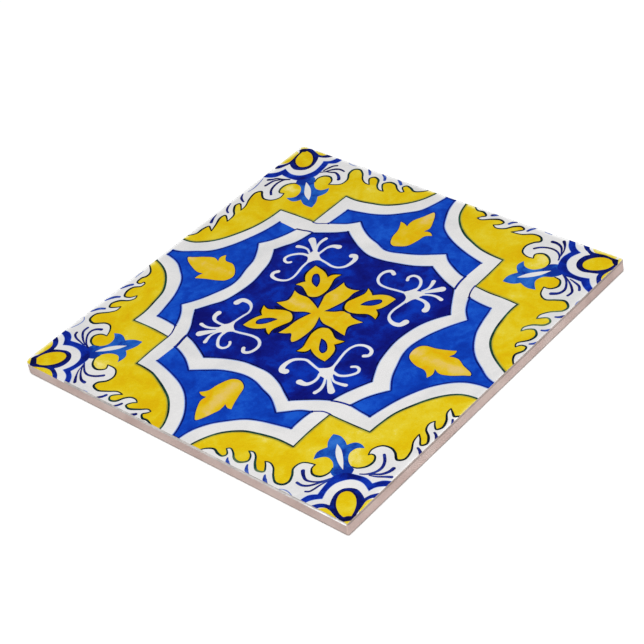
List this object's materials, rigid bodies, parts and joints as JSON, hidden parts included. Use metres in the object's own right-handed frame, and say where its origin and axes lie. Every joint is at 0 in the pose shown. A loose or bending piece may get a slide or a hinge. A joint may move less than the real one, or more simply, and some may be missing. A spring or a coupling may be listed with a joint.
{
  "type": "azulejo tile",
  "caption": "Square glazed ceramic wall tile painted with a blue, yellow and white interlaced-strap azulejo pattern, with a fine rounded glazed edge, bare biscuit sides and a keyed back.",
  "frame": {"origin": "middle of the keyed back, in the plane of its ribs, which is the plane that the tile rests on or is bonded to", "axes": "+Z out of the glazed face, +X and +Y along the tile's edges; the picture's near corner is at +X -Y"},
  "size_m": [0.15, 0.15, 0.005],
  "materials": {
    "glazed_tile": "glossy white tin glaze painted in cobalt blue and yellow on the face; bare matt pinkish biscuit on the sides and back"
  },
  "bodies": {
    "root": {"tile": "glazed_tile"}
  },
  "joints": []
}
